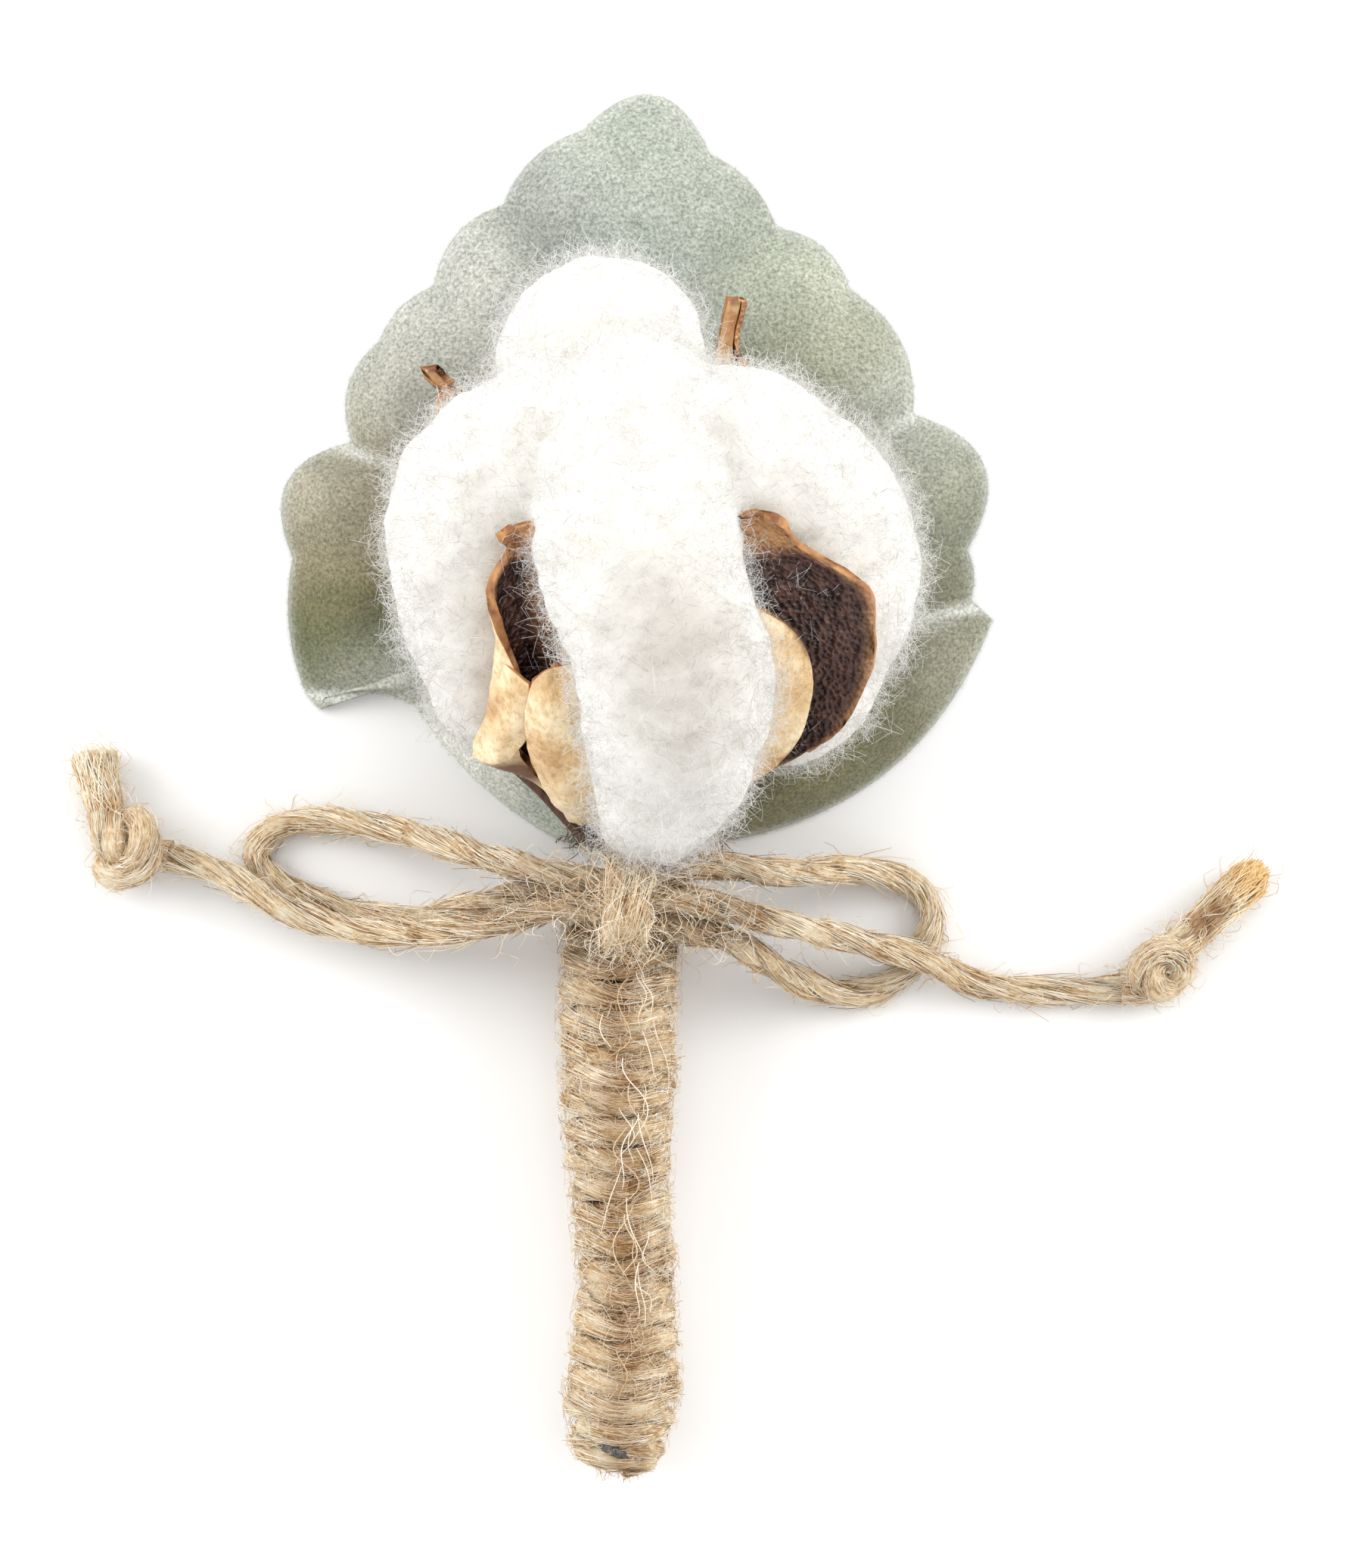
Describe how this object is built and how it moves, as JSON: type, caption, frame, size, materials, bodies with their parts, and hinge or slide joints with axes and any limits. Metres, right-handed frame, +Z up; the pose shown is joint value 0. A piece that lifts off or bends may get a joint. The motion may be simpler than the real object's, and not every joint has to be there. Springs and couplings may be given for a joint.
{
  "type": "cotton boll boutonniere",
  "caption": "Boutonniere of a dried cotton boll with bur valves before a flocked leaf, on a stem wound with jute twine and tied with a knotted bow.",
  "frame": {"origin": "on the table, under the middle of the leaf and stem, with the bow's loops and tails left out", "axes": "+Y from the bound stem towards the leaf's tip, +X to the right as seen from the front, +Z up out of the boll's face while the piece lies on its back"},
  "size_m": [0.1081, 0.1249, 0.0408],
  "materials": {
    "calyx": "dry, rough",
    "bur": "dry bur, dark pitted outside and tan inside",
    "lint": "loose white cotton fibre",
    "seed": "fuzzy brown seed",
    "stalk": "dry bark",
    "leaf": "sage green flock with a short nap",
    "rib": "green coated wire",
    "wire": "green coated wire",
    "tape": "waxed paper tape",
    "jute": "two-ply jute twine with loose fibres",
    "jute_end": "brushed-out pale jute fibre"
  },
  "bodies": {
    "root": {"calyx": "calyx", "valve_front_left": "bur", "valve_front_right": "bur", "valve_back_left": "bur", "valve_back_right": "bur", "lock_front": "lint", "lock_left": "lint", "lock_right": "lint", "lock_top": "lint", "seeds_front": "seed", "seeds_left": "seed", "seeds_right": "seed", "seeds_top": "seed", "bract_remnant": "calyx", "stalk": "stalk", "leaf_blade": "leaf", "leaf_rib": "rib", "stem_wires": "wire", "floral_tape": "tape", "stem_wrap": "jute", "bow_band": "jute", "bow_knot": "jute", "bow_loop_left": "jute", "bow_loop_right": "jute", "bow_tail_left": "jute", "bow_tail_right": "jute", "tail_knot_left": "jute", "tail_knot_right": "jute", "tail_end_left": "jute_end", "tail_end_right": "jute_end"}
  },
  "joints": []
}
